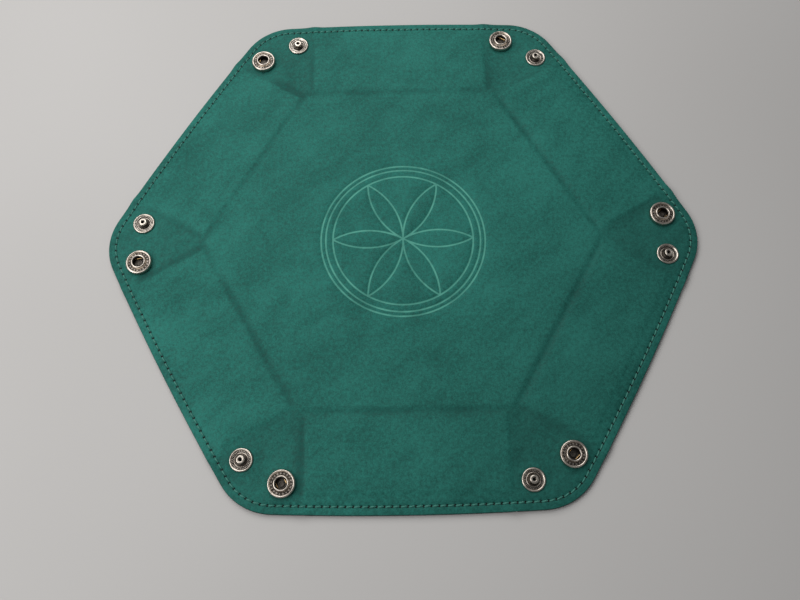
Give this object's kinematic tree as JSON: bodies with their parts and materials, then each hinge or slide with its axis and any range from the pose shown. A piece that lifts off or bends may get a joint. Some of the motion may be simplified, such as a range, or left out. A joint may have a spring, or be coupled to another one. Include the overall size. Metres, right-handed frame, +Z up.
{
  "type": "folding dice tray",
  "caption": "Hexagonal leather dice tray that lies flat for storage. Its walls fold up about soft creases, and a snap at each corner holds them upright.",
  "frame": {"origin": "under the centre of the tray, on the plane that the flat tray rests on", "axes": "+Z up out of the lining, +X towards corner 1, +Y square to one side of the hexagon"},
  "size_m": [0.278, 0.2504, 0.0056],
  "materials": {
    "lining": "soft suede-like polyurethane leather, dyed deep teal green",
    "cover": "smooth black polyurethane leather",
    "board": "grey-brown chipboard",
    "nickel": "nickel-plated brass"
  },
  "bodies": {
    "floor": {"floor_board": "board", "floor_lining": "lining", "floor_cover": "cover"},
    "wall_1": {"wall_board_1": "board", "wall_lining_1": "lining", "wall_cover_1": "cover"},
    "wall_2": {"wall_board_2": "board", "wall_lining_2": "lining", "wall_cover_2": "cover"},
    "wall_3": {"wall_board_3": "board", "wall_lining_3": "lining", "wall_cover_3": "cover"},
    "wall_4": {"wall_board_4": "board", "wall_lining_4": "lining", "wall_cover_4": "cover"},
    "wall_5": {"wall_board_5": "board", "wall_lining_5": "lining", "wall_cover_5": "cover"},
    "wall_6": {"wall_board_6": "board", "wall_lining_6": "lining", "wall_cover_6": "cover"},
    "socket_half_1": {"socket_gusset_1": "lining", "snap_cap_1": "nickel", "snap_socket_1": "nickel"},
    "stud_half_1": {"stud_gusset_1": "lining", "snap_eyelet_1": "nickel", "snap_stud_1": "nickel"},
    "socket_half_2": {"socket_gusset_2": "lining", "snap_cap_2": "nickel", "snap_socket_2": "nickel"},
    "stud_half_2": {"stud_gusset_2": "lining", "snap_eyelet_2": "nickel", "snap_stud_2": "nickel"},
    "socket_half_3": {"socket_gusset_3": "lining", "snap_cap_3": "nickel", "snap_socket_3": "nickel"},
    "stud_half_3": {"stud_gusset_3": "lining", "snap_eyelet_3": "nickel", "snap_stud_3": "nickel"},
    "socket_half_4": {"socket_gusset_4": "lining", "snap_cap_4": "nickel", "snap_socket_4": "nickel"},
    "stud_half_4": {"stud_gusset_4": "lining", "snap_eyelet_4": "nickel", "snap_stud_4": "nickel"},
    "socket_half_5": {"socket_gusset_5": "lining", "snap_cap_5": "nickel", "snap_socket_5": "nickel"},
    "stud_half_5": {"stud_gusset_5": "lining", "snap_eyelet_5": "nickel", "snap_stud_5": "nickel"},
    "socket_half_6": {"socket_gusset_6": "lining", "snap_cap_6": "nickel", "snap_socket_6": "nickel"},
    "stud_half_6": {"stud_gusset_6": "lining", "snap_eyelet_6": "nickel", "snap_stud_6": "nickel"}
  },
  "joints": [
    {"name": "fold", "type": "hinge", "parent": "floor", "child": "wall_1", "pos_m": [0.07101, 0.041, 0.0018], "axis": [0.5, -0.866, 0], "range_deg": [0, 90]},
    {"name": "fold_2", "type": "hinge", "parent": "floor", "child": "wall_2", "pos_m": [0, 0.082, 0.0018], "axis": [1, 0, 0], "range_deg": [0, 90]},
    {"name": "fold_3", "type": "hinge", "parent": "floor", "child": "wall_3", "pos_m": [-0.07101, 0.041, 0.0018], "axis": [0.5, 0.866, 0], "range_deg": [0, 90]},
    {"name": "fold_4", "type": "hinge", "parent": "floor", "child": "wall_4", "pos_m": [-0.07101, -0.041, 0.0018], "axis": [-0.5, 0.866, 0], "range_deg": [0, 90]},
    {"name": "fold_5", "type": "hinge", "parent": "floor", "child": "wall_5", "pos_m": [0, -0.082, 0.0018], "axis": [-1, 0, 0], "range_deg": [0, 90]},
    {"name": "fold_6", "type": "hinge", "parent": "floor", "child": "wall_6", "pos_m": [0.07101, -0.041, 0.0018], "axis": [-0.5, -0.866, 0], "range_deg": [0, 90]},
    {"name": "gusset_crease_1", "type": "hinge", "parent": "wall_1", "child": "socket_half_1", "pos_m": [0.09344, 0.00215, 0.0027], "axis": [0.866, 0.5, 0], "range_deg": [0, 60]},
    {"name": "gusset_crease_2", "type": "hinge", "parent": "wall_2", "child": "socket_half_2", "pos_m": [0.04486, 0.082, 0.0027], "axis": [0, 1, 0], "range_deg": [0, 60]},
    {"name": "gusset_crease_3", "type": "hinge", "parent": "wall_3", "child": "socket_half_3", "pos_m": [-0.04858, 0.07985, 0.0027], "axis": [-0.866, 0.5, 0], "range_deg": [0, 60]},
    {"name": "gusset_crease_4", "type": "hinge", "parent": "wall_4", "child": "socket_half_4", "pos_m": [-0.09344, -0.00215, 0.0027], "axis": [-0.866, -0.5, 0], "range_deg": [0, 60]},
    {"name": "gusset_crease_5", "type": "hinge", "parent": "wall_5", "child": "socket_half_5", "pos_m": [-0.04486, -0.082, 0.0027], "axis": [0, -1, 0], "range_deg": [0, 60]},
    {"name": "gusset_crease_6", "type": "hinge", "parent": "wall_6", "child": "socket_half_6", "pos_m": [0.04858, -0.07985, 0.0027], "axis": [0.866, -0.5, 0], "range_deg": [0, 60]},
    {"name": "snap_fold_1", "type": "hinge", "parent": "socket_half_1", "child": "stud_half_1", "pos_m": [0.12309, 0, 0.0044], "axis": [-1, 0, 0], "range_deg": [0, 179.8]},
    {"name": "snap_fold_2", "type": "hinge", "parent": "socket_half_2", "child": "stud_half_2", "pos_m": [0.06155, 0.1066, 0.0044], "axis": [-0.5, -0.866, 0], "range_deg": [0, 179.8]},
    {"name": "snap_fold_3", "type": "hinge", "parent": "socket_half_3", "child": "stud_half_3", "pos_m": [-0.06155, 0.1066, 0.0044], "axis": [0.5, -0.866, 0], "range_deg": [0, 179.8]},
    {"name": "snap_fold_4", "type": "hinge", "parent": "socket_half_4", "child": "stud_half_4", "pos_m": [-0.12309, 0, 0.0044], "axis": [1, 0, 0], "range_deg": [0, 179.8]},
    {"name": "snap_fold_5", "type": "hinge", "parent": "socket_half_5", "child": "stud_half_5", "pos_m": [-0.06155, -0.1066, 0.0044], "axis": [0.5, 0.866, 0], "range_deg": [0, 179.8]},
    {"name": "snap_fold_6", "type": "hinge", "parent": "socket_half_6", "child": "stud_half_6", "pos_m": [0.06155, -0.1066, 0.0044], "axis": [-0.5, 0.866, 0], "range_deg": [0, 179.8]}
  ],
  "couplings": [
    {"joint": "fold_2", "follows": "fold", "ratio": 1},
    {"joint": "fold_3", "follows": "fold", "ratio": 1},
    {"joint": "fold_4", "follows": "fold", "ratio": 1},
    {"joint": "fold_5", "follows": "fold", "ratio": 1},
    {"joint": "fold_6", "follows": "fold", "ratio": 1},
    {"joint": "gusset_crease_1", "follows": "fold", "ratio": 0.66667},
    {"joint": "gusset_crease_2", "follows": "fold", "ratio": 0.66667},
    {"joint": "gusset_crease_3", "follows": "fold", "ratio": 0.66667},
    {"joint": "gusset_crease_4", "follows": "fold", "ratio": 0.66667},
    {"joint": "gusset_crease_5", "follows": "fold", "ratio": 0.66667},
    {"joint": "gusset_crease_6", "follows": "fold", "ratio": 0.66667},
    {"joint": "snap_fold_1", "follows": "fold", "ratio": 1.9978},
    {"joint": "snap_fold_2", "follows": "fold", "ratio": 1.9978},
    {"joint": "snap_fold_3", "follows": "fold", "ratio": 1.9978},
    {"joint": "snap_fold_4", "follows": "fold", "ratio": 1.9978},
    {"joint": "snap_fold_5", "follows": "fold", "ratio": 1.9978},
    {"joint": "snap_fold_6", "follows": "fold", "ratio": 1.9978}
  ]
}
